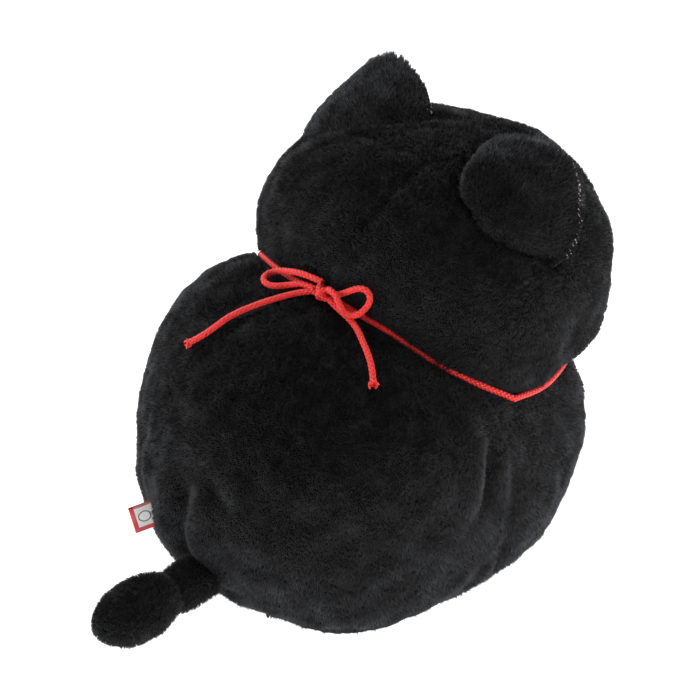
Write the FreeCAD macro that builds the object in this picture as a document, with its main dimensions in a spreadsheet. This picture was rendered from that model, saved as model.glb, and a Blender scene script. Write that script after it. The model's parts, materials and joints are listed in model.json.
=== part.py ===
import FreeCAD, Part
import Sketcher
import math
import os
import re

# A sitting beckoning cat, a stuffed plush toy with a red cord tied in a bow round its neck.
# Millimetres. +Z is up, -Y is the cat's front, +X is the cat's left. The floor is Z = 0.

doc = FreeCAD.newDocument("beckoning_cat")
sheet = doc.addObject("Spreadsheet::Sheet", "sizes")
V = FreeCAD.Vector

SIZES = {
    # cloth and gaps
    "pile": 3.0,             # plush cloth together with its pile
    "gap": 0.3,              # between a cover and what it holds, and between soft neighbours
    "reach": 160.0,          # half-size of the blocks that part the covers at the seams
    # body sack
    "body_half_width": 97.0,
    "body_half_depth": 111.0,
    "body_half_height": 89.0,
    "body_back": -4.0,
    "body_up": 46.0,
    "gore_x": 5.4,           # where the back gores start, beside the middle seam at the neck
    "gore_turn": 19.3,       # how far each gore seam leans away from the middle seam
    # pellet pouch that weights the base
    "pouch_half_width": 55.0,
    "pouch_half_depth": 62.0,
    "pouch_half_height": 14.0,
    "pouch_wall": 1.0,
    "pouch_up": 18.5,
    # head
    "head_half_width": 92.0,
    "head_half_depth": 69.0,
    "head_half_height": 62.0,
    "head_back": -54.0,
    "head_up": 135.0,
    # embroidery on the face
    "stitch_lift": 0.1,
    "stitch_proud": 1.0,
    "face_overlap": 20.0,    # how far behind the head's middle the face's layer is parted
    "eye_x": 35.0,
    "eye_up": 143.0,
    "eye_radius": 8.5,
    "nose_radius": 6.0,
    "nose_up": 127.0,
    "mouth_radius": 7.0,
    "mouth_line": 1.4,
    "mouth_x": 6.3,
    "mouth_up": 118.0,
    "whisker_x": 42.0,
    "whisker_up": 121.0,
    "whisker_long": 27.0,
    "whisker_wide": 1.2,
    "whisker_fan": 13.0,
    # ears
    "ear_x": 54.0,
    "ear_y": -55.0,
    "ear_up": 176.5,
    "ear_half_base": 36.0,
    "ear_foot": 5.0,         # how far the ear's outline runs on below its base line
    "ear_tall": 37.0,
    "ear_lean": -4.0,        # the tip's shift towards the middle of the head
    "ear_tip_radius": 7.0,
    "ear_cover_thick": 5.0,
    "ear_lining_thick": 1.2,
    "ear_edge": 3.2,
    "ear_clear": 2.6,
    "ear_seat": 1.5,         # from the ear's middle plane to the lining's back
    "ear_rim_inset": 0.3,    # the stitching's outer edge, in from the cover's
    "ear_rim_overlap": 0.2,  # the stitching starts this far inside the lining's edge
    # raised arm, on the cat's left
    "raised_x": 74.0,
    "raised_y": -105.0,
    "raised_up": 100.0,
    "raised_half_width": 14.0,
    "raised_half_long": 46.0,
    "raised_tip": 20.0,
    # resting arm, on the cat's right
    "resting_x": -50.0,
    "resting_y": -91.0,
    "resting_up": 48.0,
    "resting_half_width": 14.0,
    "resting_half_long": 24.0,
    # feet
    "foot_x": 30.0,
    "foot_y": -104.0,
    "foot_up": 11.0,
    "foot_half_width": 21.0,
    "foot_half_depth": 22.0,
    "foot_half_height": 16.0,
    # tail
    "tail_y": 114.5,
    "tail_up": 21.0,
    "tail_radius": 11.0,
    "tail_long": 10.0,
    "tip_y": 146.0,
    "tip_up": 21.0,
    "tip_half_width": 16.0,
    "tip_half_long": 25.0,
    "tip_socket": 11.8,
    # neck cord and bow
    "cord": 3.5,
    "cord_stand": 3.1,       # from the cord's middle line to the covers beside it
    "knot_y": 21.0,
    "knot_up": 139.3,
    "knot_half_width": 7.0,
    "knot_half_depth": 5.2,
    "knot_side": 3.5,        # the neck cord's ends, left and right of the knot's middle
    "knot_step": 2.2,        # the same ends, in front of and below the knot's middle
    # bell
    "bell_stand": 4.6,       # the cord stands off a little more where the bell hangs
    "bell_radius": 9.5,
    "bell_wall": 0.8,
    "bell_rim": 0.7,
    "bell_rim_tall": 1.2,
    "bell_slot": 2.0,
    "bell_drop": 13.1,       # from the cord to the middle of the bell
    "bell_turn": -58.0,
    "bell_pea": 2.6,
    "hanger_radius": 2.9,
    "hanger_wire": 0.6,
    "hanger_room": 6.0,      # width of the relief in the pile for the bell's hanger
    "pea_lift": 0.05,        # the pea rests this far above the bell's wall
    # side tag
    "tag_x": 40.5,
    "tag_y": 96.9,
    "tag_up": 31.0,
    "tag_tall": 15.0,
    "tag_long": 13.0,
    "tag_thick": 1.7,
    "tag_fold": 0.6,
}

for row, (alias, number) in enumerate(SIZES.items(), start=1):
    sheet.set("A%d" % row, alias.replace("_", " "))
    sheet.set("B%d" % row, str(number))
    sheet.setAlias("B%d" % row, alias)
doc.recompute()

PARTS = []


# ---------------------------------------------------------------- helpers

def bind(item, field, formula):
    """Ties a field to the sheet. Every word in the formula is the name of a size."""
    item.setExpression(field, re.sub(r"[a-z]\w*", r"sizes.\g<0>", formula))


def place(item, where, axis=None, turn=None):
    """Puts an object at three formulas, turned about an axis by a size in degrees."""
    if axis:
        item.Placement = FreeCAD.Placement(V(), FreeCAD.Rotation(V(*axis), 1.0))
        bind(item, "Placement.Rotation.Angle", turn)
    for letter, formula in zip("xyz", where):
        bind(item, "Placement.Base." + letter, formula)
    return item


def ellipsoid(where, half, axis=None, turn=None):
    item = doc.addObject("Part::Ellipsoid", "Round")
    bind(item, "Radius1", half[2])
    bind(item, "Radius2", half[0])
    bind(item, "Radius3", half[1])
    return place(item, where, axis, turn)


def sphere(where, radius):
    item = doc.addObject("Part::Sphere", "Ball")
    bind(item, "Radius", radius)
    return place(item, where)


def cylinder(where, radius, tall, axis=None, turn=None):
    item = doc.addObject("Part::Cylinder", "Rod")
    bind(item, "Radius", radius)
    bind(item, "Height", tall)
    return place(item, where, axis, turn)


def block(corner, sides, axis=None, turn=None):
    item = doc.addObject("Part::Box", "Block")
    for field, formula in zip(("Length", "Width", "Height"), sides):
        bind(item, field, formula)
    return place(item, corner, axis, turn)


def cut(base, *tools):
    for tool in tools:
        item = doc.addObject("Part::Cut", "Cut")
        item.Base = base
        item.Tool = tool
        base = item
    return base


def common(base, *tools):
    for tool in tools:
        item = doc.addObject("Part::Common", "Common")
        item.Base = base
        item.Tool = tool
        base = item
    return base


def fuse(*items):
    joined = doc.addObject("Part::MultiFuse", "Fuse")
    joined.Shapes = list(items)
    return joined


def solid(shape):
    item = doc.addObject("Part::Feature", "Solid")
    item.Shape = shape
    return item


def part(label, item):
    item.Label = label
    PARTS.append(item)
    return item


# ---------------------------------------------------------------- whole forms

BODY_AT = ("0", "body_back", "body_up")
HEAD_AT = ("0", "head_back", "head_up")


def body_form(grow):
    half = ("body_half_width", "body_half_depth", "body_half_height")
    return ellipsoid(BODY_AT, [size + grow for size in half])


def head_form(grow):
    half = ("head_half_width", "head_half_depth", "head_half_height")
    return ellipsoid(HEAD_AT, [size + grow for size in half])


def above(level):
    """Everything higher than a level."""
    return block(("-reach", "-reach", level), ("2 * reach", "2 * reach", "2 * reach"))


def side(sign):
    """Everything on the cat's left (1) or right (-1) of the middle seam, over the base panel."""
    corner_x = "0" if sign > 0 else "-reach"
    return block((corner_x, "-reach", "pile"), ("reach", "2 * reach", "2 * reach"))


def behind():
    """Everything behind the body's side seams, over the base panel."""
    return block(("-reach", "body_back", "pile"), ("2 * reach", "2 * reach", "2 * reach"))


def beyond_gore(sign):
    """Everything on the far side of the left (1) or right (-1) gore seam."""
    corner = ("%d * gore_x" % sign, "body_back", "0")
    turn = "-gore_turn" if sign > 0 else "90 + gore_turn"
    return block(corner, ("2 * reach", "2 * reach", "2 * reach"), (0, 0, 1), turn)


# ---------------------------------------------------------------- the neck cord's route

def number(name):
    return SIZES[name]


BODY_MID = V(0, number("body_back"), number("body_up"))
BODY_HALF = V(number("body_half_width"), number("body_half_depth"), number("body_half_height"))
HEAD_MID = V(0, number("head_back"), number("head_up"))
HEAD_HALF = V(number("head_half_width"), number("head_half_depth"), number("head_half_height"))


def outward(point, mid, half):
    """The direction straight out of a round form at a point on it."""
    away = point - mid
    return V(away.x / half.x ** 2, away.y / half.y ** 2, away.z / half.z ** 2).normalize()


def inside(point, mid, half):
    away = point - mid
    return (away.x / half.x) ** 2 + (away.y / half.y) ** 2 + (away.z / half.z) ** 2 < 1


def head_point(turn, rise):
    return HEAD_MID + V(
        HEAD_HALF.x * math.cos(rise) * math.cos(turn),
        HEAD_HALF.y * math.cos(rise) * math.sin(turn),
        HEAD_HALF.z * math.sin(rise))


def crease(degrees, stand):
    """A point in the crease under the head, at a stated distance from head and body alike."""
    turn = math.radians(degrees)
    low, high = math.radians(-60), math.radians(20)
    for _ in range(50):
        middle = (low + high) / 2
        if inside(head_point(turn, middle), BODY_MID, BODY_HALF):
            low = middle
        else:
            high = middle
    point = head_point(turn, high)
    from_head = outward(point, HEAD_MID, HEAD_HALF)
    between = (from_head + outward(point, BODY_MID, BODY_HALF)).normalize()
    return point + between * (stand / from_head.dot(between))


def tube(name, points, radius):
    """A round tube of straight runs joined by tangent arcs, each as large as its runs allow."""
    edges = []
    radii = []
    start = points[0]
    for before, corner, after in zip(points, points[1:], points[2:]):
        back = (before - corner).normalize()
        ahead = (after - corner).normalize()
        turn = math.pi - back.getAngle(ahead)
        shorter = min((before - corner).Length, (after - corner).Length)
        trim = 0.45 * shorter
        bend = trim / math.tan(turn / 2)
        radii.append(bend)
        first = corner + back * trim
        last = corner + ahead * trim
        inward = (back + ahead).normalize()
        middle = corner + inward * (bend / math.cos(turn / 2) - bend)
        edges.append(Part.LineSegment(start, first).toShape())
        edges.append(Part.Arc(first, middle, last).toShape())
        start = last
    edges.append(Part.LineSegment(start, points[-1]).toShape())
    wire = Part.Wire(edges)
    heading = (points[1] - points[0]).normalize()
    ring = Part.Wire(Part.makeCircle(radius, points[0], heading))
    shape = wire.makePipeShell([ring], True, False)
    ideal = math.pi * radius ** 2 * wire.Length
    print("%-18s length %6.1f  smallest radius %5.1f  volume ratio %.4f"
          % (name, wire.Length, min(radii), shape.Volume / ideal))
    return solid(shape)


NECK_STEPS = 15


def neck_route():
    """Round the neck from the left of the bow's knot to the right of it."""
    stand = number("cord_stand")
    step_in = number("knot_step")
    points = [V(number("knot_side"), number("knot_y") - step_in, number("knot_up") - step_in)]
    for step in range(1, NECK_STEPS):
        degrees = 90 - step * 360 / NECK_STEPS
        in_front = abs(step - NECK_STEPS / 2) < 1
        points.append(crease(degrees, number("bell_stand") if in_front else stand))
    points.append(V(-points[0].x, points[0].y, points[0].z))
    return points


# ---------------------------------------------------------------- body and head

def body_parts(groove, relief):
    shell = cut(body_form(""), body_form(" - pile"), head_form(" + gap"), groove, relief)
    back = common(shell, behind())
    for name, sign in (("left", 1), ("right", -1)):
        half = common(back, side(sign))
        part("back_%s_gore" % name, cut(half, beyond_gore(sign)))
        part("%s_side_panel" % name, common(half, beyond_gore(sign)))
    part("front_panel", cut(common(shell, above("pile")), behind()))
    floor_slab = block(("-reach", "-reach", "0"), ("2 * reach", "2 * reach", "pile"))
    part("base_panel", common(body_form(""), floor_slab))

    pouch_at = ("0", "body_back", "pouch_up")
    half = ("pouch_half_width", "pouch_half_depth", "pouch_half_height")
    pouch = ellipsoid(pouch_at, half)
    pouch_inside = ellipsoid(pouch_at, [size + " - pouch_wall" for size in half])
    part("pellet_pouch", cut(pouch, pouch_inside))
    part("pellet_fill", ellipsoid(pouch_at, [size + " - pouch_wall - gap" for size in half]))

    fill = common(body_form(" - pile - gap"), above("pile + gap"))
    room = ellipsoid(pouch_at, [size + " + gap" for size in half])
    part("body_stuffing", cut(fill, head_form(" + gap"), room))


def head_parts(groove, relief):
    shell = cut(head_form(""), head_form(" - pile"), groove, relief)
    back = block(("-reach", "head_back", "0"), ("2 * reach", "2 * reach", "2 * reach"))
    behind = common(shell, back)
    part("head_back_left_panel", common(behind, side(1)))
    part("head_back_right_panel", common(behind, side(-1)))
    part("face_panel", cut(shell, back))
    part("head_stuffing", head_form(" - pile - gap"))


def through_face(item_at, radius):
    """A round bar that passes through the face from front to back."""
    return cylinder((item_at[0], "head_back", item_at[1]), radius, "reach", (1, 0, 0), "90")


def face_parts():
    layer = cut(head_form(" + stitch_proud"), head_form(" + stitch_lift"))
    front = cut(layer, block(("-reach", "head_back - face_overlap", "0"),
                             ("2 * reach", "2 * reach", "2 * reach")))
    for name, sign in (("left", ""), ("right", "-")):
        part(name + "_eye", common(front, through_face((sign + "eye_x", "eye_up"), "eye_radius")))

    nose = doc.addObject("Part::Prism", "Triangle")
    nose.Polygon = 3
    bind(nose, "Circumradius", "nose_radius")
    bind(nose, "Height", "reach")
    nose.Placement = FreeCAD.Placement(V(), FreeCAD.Rotation(V(1, 0, 0), 90)
                                       * FreeCAD.Rotation(V(0, 0, 1), -90))
    for letter, formula in zip("xyz", ("0", "head_back", "nose_up")):
        bind(nose, "Placement.Base." + letter, formula)
    part("nose", common(front, nose))

    halves = []
    for sign in ("", "-"):
        at = (sign + "mouth_x", "mouth_up")
        halves.append(cut(through_face(at, "mouth_radius"),
                          through_face(at, "mouth_radius - mouth_line")))
    smile = cut(fuse(*halves), above("mouth_up"))
    part("mouth_stitching", common(front, smile))

    for name, sign in (("left", 1), ("right", -1)):
        threads = []
        for fan in (-1, 0, 1):
            thread = doc.addObject("Part::Box", "Thread")
            bind(thread, "Length", "whisker_long")
            bind(thread, "Width", "reach")
            bind(thread, "Height", "whisker_wide")
            tilt = fan * number("whisker_fan") + (0 if sign > 0 else 180)
            thread.Placement = FreeCAD.Placement(V(), FreeCAD.Rotation(V(0, 1, 0), tilt))
            bind(thread, "Placement.Base.x", "%d * whisker_x" % sign)
            bind(thread, "Placement.Base.y", "head_back - reach")
            bind(thread, "Placement.Base.z", "whisker_up")
            threads.append(thread)
        part(name + "_whiskers", common(front, fuse(*threads)))


# ---------------------------------------------------------------- ears

EAR_ALONG = V(60, 14, -27).normalize()      # the base line, from the middle of the head outwards
EAR_RISE = V(13.1, -24.8, 16.2).normalize()


def ear_frame(sign):
    """The ear's own axes: along the base, up the ear, and out of the lining."""
    along = V(EAR_ALONG)
    rise = V(EAR_RISE)
    if sign < 0:
        along = V(along.x, -along.y, -along.z)
        rise = V(-rise.x, rise.y, rise.z)
    rise = (rise - along * rise.dot(along)).normalize()
    out = along.cross(rise)
    matrix = FreeCAD.Matrix(along.x, rise.x, out.x, 0,
                            along.y, rise.y, out.y, 0,
                            along.z, rise.z, out.z, 0,
                            0, 0, 0, 1)
    return FreeCAD.Placement(matrix).Rotation


SIDE_INSET = 1.6            # an outline set in by 1 moves its base corners in by this
TIP_INSET = 1.4             # and its tip down by this
ROUND_INSET = 0.6           # and its tip's radius shrinks by this


def ear_plate(sign, inset, start, thick):
    """A flat triangular plate with a rounded tip, drawn in the ear's own plane."""
    body = doc.addObject("PartDesign::Body", "EarPlate")
    plane = [item for item in body.Origin.OriginFeatures if item.Role == "XY_Plane"][0]
    sketch = body.newObject("Sketcher::SketchObject", "EarOutline")
    sketch.AttachmentSupport = [(plane, "")]
    sketch.MapMode = "FlatFace"
    corners = [V(-30, -5, 0), V(30, -5, 0), V(0, 30, 0)]
    for index in range(3):
        sketch.addGeometry(Part.LineSegment(corners[index], corners[(index + 1) % 3]), False)
    for index in range(3):
        following = (index + 1) % 3
        sketch.addConstraint(Sketcher.Constraint("Coincident", index, 2, following, 1))
    lean = ("%d * ear_lean" % sign)
    half_base = "(ear_half_base - %g * %s)" % (SIDE_INSET, inset)
    targets = [("-" + half_base, "-ear_foot"),
               (half_base, "-ear_foot"),
               (lean, "ear_tall - %g * %s" % (TIP_INSET, inset))]
    for index, (across, up) in enumerate(targets):
        for kind, formula, now in (("DistanceX", across, corners[index].x),
                                   ("DistanceY", up, corners[index].y)):
            rule = sketch.addConstraint(Sketcher.Constraint(kind, -1, 1, index, 1, now))
            bind(sketch, "Constraints[%d]" % rule, formula)
    pad = body.newObject("PartDesign::Pad", "EarPad")
    pad.Profile = sketch
    bind(pad, "Length", thick)
    doc.recompute()
    tip = [index for index, edge in enumerate(pad.Shape.Edges, start=1)
           if edge.CenterOfMass.y > 20 and abs(edge.tangentAt(edge.FirstParameter).z) > 0.9]
    rounding = body.newObject("PartDesign::Fillet", "EarTip")
    rounding.Base = (pad, ["Edge%d" % index for index in tip])
    bind(rounding, "Radius", "ear_tip_radius - %g * %s" % (ROUND_INSET, inset))
    body.Tip = rounding
    frame = ear_frame(sign)
    shift = frame.multVec(V(0, 0, start))
    body.Placement = FreeCAD.Placement(V(), frame)
    bind(body, "Placement.Base.x", "%d * ear_x + %.6f" % (sign, shift.x))
    bind(body, "Placement.Base.y", "ear_y + %.6f" % shift.y)
    bind(body, "Placement.Base.z", "ear_up + %.6f" % shift.z)
    return body


def ear_parts():
    clear = head_form(" + ear_clear")
    seat = number("ear_seat")
    for name, sign in (("left", 1), ("right", -1)):
        cover = ear_plate(sign, "0", seat - number("ear_cover_thick"), "ear_cover_thick")
        lining = ear_plate(sign, "ear_edge", seat, "ear_lining_thick")
        rim = cut(ear_plate(sign, "ear_rim_inset", seat, "0.8 * ear_lining_thick"),
                  ear_plate(sign, "(ear_edge - ear_rim_overlap)", seat - number("ear_rim_overlap"),
                            "2 * ear_lining_thick"))
        part(name + "_ear_back", cut(cover, clear))
        part(name + "_ear_lining", cut(lining, clear))
        part(name + "_ear_stitching", cut(rim, clear))


# ---------------------------------------------------------------- arms, feet and tail

def stuffed(name, where, half, axis=None, turn=None, trims=(), keep=()):
    """A cover and the stuffing in it, both trimmed by the same neighbours."""
    outer = common(ellipsoid(where, half, axis, turn), *keep)
    inner = ellipsoid(where, [size + " - pile" for size in half], axis, turn)
    fill = ellipsoid(where, [size + " - pile - gap" for size in half], axis, turn)
    if keep:
        inner = common(inner, above("pile"))
        fill = common(fill, above("pile + gap"))
    part(name + "_cover", cut(outer, inner, *trims))
    part(name + "_stuffing", cut(fill, *trims))


def limb_parts():
    raised = ["raised_half_width", "raised_half_width", "raised_half_long"]
    stuffed("raised_arm", ("raised_x", "raised_y", "raised_up"), raised, (1, 1, 0), "raised_tip")
    resting = ["resting_half_width", "resting_half_width", "resting_half_long"]
    stuffed("resting_arm", ("resting_x", "resting_y", "resting_up"), resting,
            trims=(body_form(" + gap"),))
    foot = ["foot_half_width", "foot_half_depth", "foot_half_height"]
    for name, sign in (("left", ""), ("right", "-")):
        stuffed(name + "_foot", (sign + "foot_x", "foot_y", "foot_up"), foot,
                trims=(body_form(" + gap"),), keep=(above("0"),))


def capsule(radius):
    return fuse(sphere(("0", "tail_y", "tail_up"), radius),
                sphere(("0", "tail_y + tail_long", "tail_up"), radius),
                cylinder(("0", "tail_y + tail_long", "tail_up"), radius, "tail_long",
                         (1, 0, 0), "90"))


def tail_parts():
    part("tail_stub_cover", cut(capsule("tail_radius"), capsule("tail_radius - pile")))
    part("tail_stub_stuffing", capsule("tail_radius - pile - gap"))
    socket = sphere(("0", "tail_y + tail_long", "tail_up"), "tip_socket")
    stuffed("tail_tip", ("0", "tip_y", "tip_up"),
            ["tip_half_width", "tip_half_long", "tip_half_width"], trims=(socket,))


# ---------------------------------------------------------------- cord, bow, bell and tag

BOW_ROUTES = {
    "bow_left_end": [(3, 21.5, 139), (10.5, 23.6, 136.4), (16.5, 29.5, 134.2), (22, 37.5, 132),
                     (27.5, 45.5, 129), (31.5, 52.8, 126), (34, 59.8, 122), (37.5, 65.2, 117.8),
                     (43, 69, 113.2)],
    "bow_right_end": [(-4, 22.6, 138), (-11.5, 23.8, 136.6), (-19, 24.4, 135.2),
                      (-26.3, 26.4, 133.8), (-34.4, 30.9, 132.6), (-42.5, 35.2, 130.6),
                      (-49.5, 39.8, 128), (-55, 44.8, 124.6)],
    "bow_left_loop": [(2.4, 20.2, 143.4), (11, 21.2, 143.8), (20.5, 21, 141.6), (29.5, 20.2, 138),
                      (34.5, 20.6, 135.6), (36.4, 24.6, 134.6), (33.6, 28.9, 134.2),
                      (27, 29.6, 134.4), (19.5, 24.8, 136.4), (12.5, 22, 139.4),
                      (5, 22.4, 139.4)],
    "bow_right_loop": [(-4, 22.6, 143.4), (-9.6, 24, 144.2), (-14.6, 26, 141.2), (-18.4, 26.4, 137.8),
                       (-23, 24, 137.6), (-26, 20.6, 141.4), (-27.2, 18.2, 146),
                       (-24.2, 17.8, 149.8), (-18.8, 18.6, 148.6), (-14, 19.6, 145.2),
                       (-9.6, 20.2, 142), (-5, 20.2, 139.6)],
}


def cord_parts(route):
    radius = number("cord") / 2
    part("neck_cord", tube("neck_cord", route, radius))
    part("bow_knot", ellipsoid(("0", "knot_y", "knot_up"),
                               ("knot_half_width", "knot_half_depth", "knot_half_depth")))
    for name, route_points in BOW_ROUTES.items():
        part(name, tube(name, [V(*point) for point in route_points], radius))


SLOT_LOW = 1.3              # the slot's cutter starts this many bell radii below the middle


def bell_parts(hook):
    """A two-part round bell with a loose pea, hung from the front of the neck cord."""
    tilt = FreeCAD.Rotation(V(1, 0, 0), number("bell_turn"))

    def hung(item, drop):
        item.Placement = FreeCAD.Placement(V(), tilt)
        offset = tilt.multVec(V(0, 0, -1))
        bind(item, "Placement.Base.x", "%.6f" % hook.x)
        bind(item, "Placement.Base.y", "%.6f + %.9f * (%s)" % (hook.y, offset.y, drop))
        bind(item, "Placement.Base.z", "%.6f + %.9f * (%s)" % (hook.z, offset.z, drop))
        return item

    def ball(radius, drop="bell_drop"):
        item = doc.addObject("Part::Sphere", "Ball")
        bind(item, "Radius", radius)
        return hung(item, drop)

    def disc(radius, tall, drop):
        item = doc.addObject("Part::Cylinder", "Disc")
        bind(item, "Radius", radius)
        bind(item, "Height", tall)
        return hung(item, drop)

    hanger = doc.addObject("Part::Torus", "Ring")
    bind(hanger, "Radius1", "hanger_radius")
    bind(hanger, "Radius2", "hanger_wire")
    place(hanger, ["%.6f" % value for value in hook], (0, 1, 0), "90")

    hollow = ball("bell_radius - bell_wall")
    upper_half = disc("2 * bell_radius", "2 * bell_radius", "bell_drop")
    shell = cut(ball("bell_radius"), hollow)
    rim = disc("bell_radius + bell_rim", "bell_rim_tall", "bell_drop + bell_rim_tall")
    slot = doc.addObject("Part::Box", "Slot")
    bind(slot, "Length", "2 * bell_radius")
    bind(slot, "Width", "bell_slot")
    bind(slot, "Height", "bell_radius")
    slot.Placement = FreeCAD.Placement(V(), tilt)
    downwards = tilt.multVec(V(0, 0, -1))
    sideways = tilt.multVec(V(0, -1, 0))
    slot_low = "(bell_drop + %g * bell_radius)" % SLOT_LOW
    bind(slot, "Placement.Base.x", "-bell_radius")
    for letter in "yz":
        bind(slot, "Placement.Base." + letter, "%.6f + %.9f * %s + %.9f * bell_slot / 2"
             % (getattr(hook, letter), getattr(downwards, letter), slot_low,
                getattr(sideways, letter)))
    part("bell_hanger", hanger)
    part("bell_upper_shell", cut(common(shell, upper_half), hanger))
    part("bell_lower_shell", cut(fuse(cut(shell, upper_half), cut(rim, hollow)), slot))
    part("bell_pea", ball("bell_pea", "bell_drop + bell_radius - bell_wall - bell_pea - pea_lift"))


def tag_part():
    """A folded loop of woven tape sewn into the side seam."""
    root = V(number("tag_x"), number("tag_y"), number("tag_up"))
    out = outward(root, BODY_MID, BODY_HALF)
    up = (V(0, 0, 1) - out * out.z).normalize()
    across = up.cross(out)
    matrix = FreeCAD.Matrix(out.x, across.x, up.x, 0,
                            out.y, across.y, up.y, 0,
                            out.z, across.z, up.z, 0,
                            0, 0, 0, 1)
    turn = FreeCAD.Placement(matrix).Rotation
    print("tag root", root, "out", out, "hinge", up)

    def laid(item, corner):
        shift = turn.multVec(corner)
        item.Placement = FreeCAD.Placement(V(), turn)
        bind(item, "Placement.Base.x", "tag_x + %.6f" % shift.x)
        bind(item, "Placement.Base.y", "tag_y + %.6f" % shift.y)
        bind(item, "Placement.Base.z", "tag_up + %.6f" % shift.z)
        return item

    thick = number("tag_thick")
    tall = number("tag_tall")
    tape = doc.addObject("Part::Box", "Tape")
    bind(tape, "Length", "tag_long")
    bind(tape, "Width", "tag_thick")
    bind(tape, "Height", "tag_tall")
    laid(tape, V(0, -thick / 2, -tall / 2))
    between = doc.addObject("Part::Box", "Fold")
    bind(between, "Length", "tag_long")
    bind(between, "Width", "tag_thick - 2 * tag_fold")
    bind(between, "Height", "2 * tag_tall")
    laid(between, V(-number("tag_fold"), -thick / 2 + number("tag_fold"), -tall))
    part("side_tag", cut(tape, between))


# ---------------------------------------------------------------- build

ROUTE = neck_route()
HOOK = (ROUTE[NECK_STEPS // 2] + ROUTE[NECK_STEPS // 2 + 1]) * 0.5
GROOVE = tube("groove", ROUTE, number("cord") / 2 + number("gap"))
RELIEF = cylinder(("-hanger_room / 2", "%.6f" % HOOK.y, "%.6f" % HOOK.z),
                  "hanger_radius + 3 * hanger_wire", "hanger_room", (0, 1, 0), "90")
print("bell hook", HOOK)

body_parts(GROOVE, RELIEF)
head_parts(GROOVE, RELIEF)
face_parts()
ear_parts()
limb_parts()
tail_parts()
cord_parts(ROUTE)
bell_parts(HOOK)
tag_part()

doc.recompute()

os.makedirs("parts", exist_ok=True)
for item in doc.Objects:
    if "Invalid" in item.State or "Error" in item.State:
        raise RuntimeError("not built: " + item.Label)
for item in PARTS:
    if item.Shape.isNull() or not item.Shape.isValid():
        raise RuntimeError("bad shape: " + item.Label)
    item.Shape.exportStep("parts/" + item.Label + ".step")
    box = item.Shape.BoundBox
    print("%-24s solids %d  volume %10.1f  x %.1f..%.1f  y %.1f..%.1f  z %.1f..%.1f"
          % (item.Label, len(item.Shape.Solids), item.Shape.Volume,
             box.XMin, box.XMax, box.YMin, box.YMax, box.ZMin, box.ZMax))
print(len(PARTS), "parts")
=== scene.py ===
import json
import math

import bmesh
import bpy
import numpy as np
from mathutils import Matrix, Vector

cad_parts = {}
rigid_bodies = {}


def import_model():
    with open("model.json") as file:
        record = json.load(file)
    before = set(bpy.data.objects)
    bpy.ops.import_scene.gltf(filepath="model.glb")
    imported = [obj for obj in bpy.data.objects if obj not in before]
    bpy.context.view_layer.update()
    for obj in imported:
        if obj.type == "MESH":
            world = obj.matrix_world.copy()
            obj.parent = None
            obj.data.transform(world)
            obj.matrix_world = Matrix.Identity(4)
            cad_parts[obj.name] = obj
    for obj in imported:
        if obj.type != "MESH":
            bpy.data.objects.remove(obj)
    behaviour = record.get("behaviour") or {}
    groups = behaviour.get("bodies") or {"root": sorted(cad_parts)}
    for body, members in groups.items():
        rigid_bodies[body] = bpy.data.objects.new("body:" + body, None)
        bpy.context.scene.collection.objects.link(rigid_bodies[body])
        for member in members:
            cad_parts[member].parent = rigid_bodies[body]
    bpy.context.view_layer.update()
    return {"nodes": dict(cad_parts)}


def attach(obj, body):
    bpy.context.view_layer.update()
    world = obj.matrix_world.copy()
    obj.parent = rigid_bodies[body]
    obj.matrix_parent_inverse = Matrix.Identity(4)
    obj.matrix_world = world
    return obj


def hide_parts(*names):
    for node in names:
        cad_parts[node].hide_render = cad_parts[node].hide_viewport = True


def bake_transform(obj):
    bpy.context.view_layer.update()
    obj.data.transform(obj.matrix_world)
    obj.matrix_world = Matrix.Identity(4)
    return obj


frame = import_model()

# A sitting black plush cat with a red cord tied in a bow behind its neck. The frame is the
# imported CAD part: metres, +Z up, -Y the cat's front, +X the cat's left, floor at Z = 0.
# Shapes below are worked out in millimetres and turned into metres when a mesh is made.

MM = 0.001
SEED = 20
TENT = 2.20             # brightness of the white tent round the object
UP = np.array([0.0, 0.0, 1.0])
SIDES = (("left", 1), ("right", -1))


# ---------------------------------------------------------------- camera, light and floor

LENS = 129.1
CAMERA_PLACE = (-0.7050, 0.7096, 0.7484)
CAMERA_TURN = 225       # degrees round from the cat's front
CAMERA_RISE = 33.04     # degrees above the horizon


def make_camera():
    data = bpy.data.cameras.new("camera")
    data.sensor_width = 36
    data.lens = LENS
    camera = bpy.data.objects.new("camera", data)
    bpy.context.scene.collection.objects.link(camera)
    turn = math.radians(CAMERA_TURN)
    rise = math.radians(CAMERA_RISE)
    back = Vector((math.sin(turn) * math.cos(rise), -math.cos(turn) * math.cos(rise),
                   math.sin(rise)))
    camera.location = CAMERA_PLACE
    camera.rotation_mode = "QUATERNION"
    camera.rotation_quaternion = (-back).to_track_quat("-Z", "Y")
    bpy.context.scene.camera = camera


def soft_light(name, place, aim, size, power):
    data = bpy.data.lights.new(name, "AREA")
    data.shape = "DISK"
    data.size = size
    data.energy = power
    light = bpy.data.objects.new(name, data)
    bpy.context.scene.collection.objects.link(light)
    light.location = place
    light.rotation_mode = "QUATERNION"
    light.rotation_quaternion = (Vector(aim) - Vector(place)).to_track_quat("-Z", "Y")


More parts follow.
